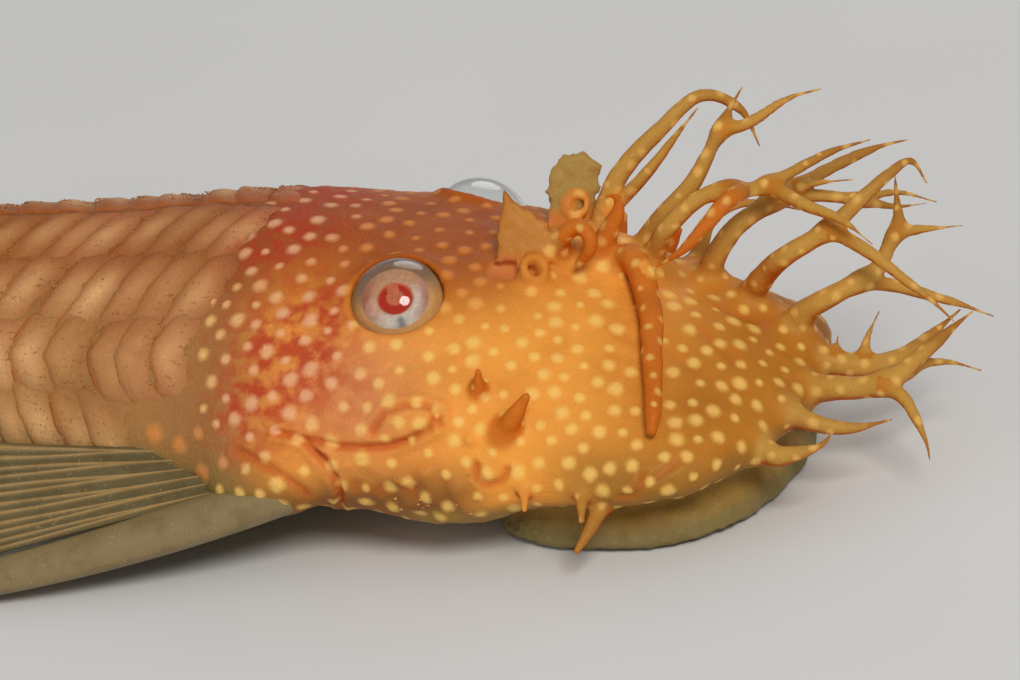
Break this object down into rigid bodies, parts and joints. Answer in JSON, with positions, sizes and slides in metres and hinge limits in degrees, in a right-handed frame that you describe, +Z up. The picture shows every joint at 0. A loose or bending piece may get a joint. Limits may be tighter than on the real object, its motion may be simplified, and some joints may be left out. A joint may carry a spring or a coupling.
{
  "type": "bristlenose pleco",
  "caption": "Still life-size model of an albino male bristlenose pleco resting on its belly, with branched snout tentacles, sucker mouth and folded fins.",
  "frame": {"origin": "on the floor under the middle of the whole fish's bounding box", "axes": "+X towards the snout, +Y to the fish's left, +Z up; the floor is Z = 0"},
  "size_m": [0.1374, 0.0486, 0.0238],
  "materials": {
    "head_skin": "moist orange-tan skin with small pale yellow spots and a pink blush behind the eye",
    "trunk_skin": "pinkish tan overlapping bony plates with fine pale granules and orange edges",
    "tentacle_skin": "smooth moist translucent-looking tan-yellow skin, spotted, orange at the edges and tips",
    "lip_skin": "soft tan-grey skin with fine papillae",
    "fin": "thin grey-green skin over pale beige rays, with a finely granular spine",
    "eye": "clear glossy eye with a silvery pink iris and a red pupil"
  },
  "bodies": {
    "root": {"head": "head_skin", "trunk": "trunk_skin", "tail": "trunk_skin", "upper_lip": "lip_skin", "lower_lip": "lip_skin", "dorsal_fin": "fin", "adipose_fin": "fin", "anal_fin": "fin", "caudal_fin": "fin", "eye_right": "eye", "cheek_right": "head_skin", "opercle_right": "head_skin", "nostril_tube_right": "head_skin", "nostril_flap_right": "head_skin", "barbel_right": "tentacle_skin", "pectoral_fin_right": "fin", "pelvic_fin_right": "fin", "margin_tentacle_right_1": "tentacle_skin", "margin_tentacle_right_2": "tentacle_skin", "margin_tentacle_right_3": "tentacle_skin", "margin_tentacle_right_4": "tentacle_skin", "eye_left": "eye", "cheek_left": "head_skin", "opercle_left": "head_skin", "nostril_tube_left": "head_skin", "nostril_flap_left": "head_skin", "barbel_left": "tentacle_skin", "pectoral_fin_left": "fin", "pelvic_fin_left": "fin", "margin_tentacle_left_1": "tentacle_skin", "margin_tentacle_left_2": "tentacle_skin", "margin_tentacle_left_3": "tentacle_skin", "margin_tentacle_left_4": "tentacle_skin", "tentacle_01": "tentacle_skin", "tentacle_02": "tentacle_skin", "tentacle_03": "tentacle_skin", "tentacle_04": "tentacle_skin", "tentacle_05": "tentacle_skin", "tentacle_06": "tentacle_skin", "tentacle_07": "tentacle_skin", "tentacle_08": "tentacle_skin", "tentacle_09": "tentacle_skin", "tentacle_10": "tentacle_skin", "tentacle_11": "tentacle_skin", "tentacle_12": "tentacle_skin", "tentacle_13": "tentacle_skin", "tentacle_14": "tentacle_skin"}
  },
  "joints": []
}
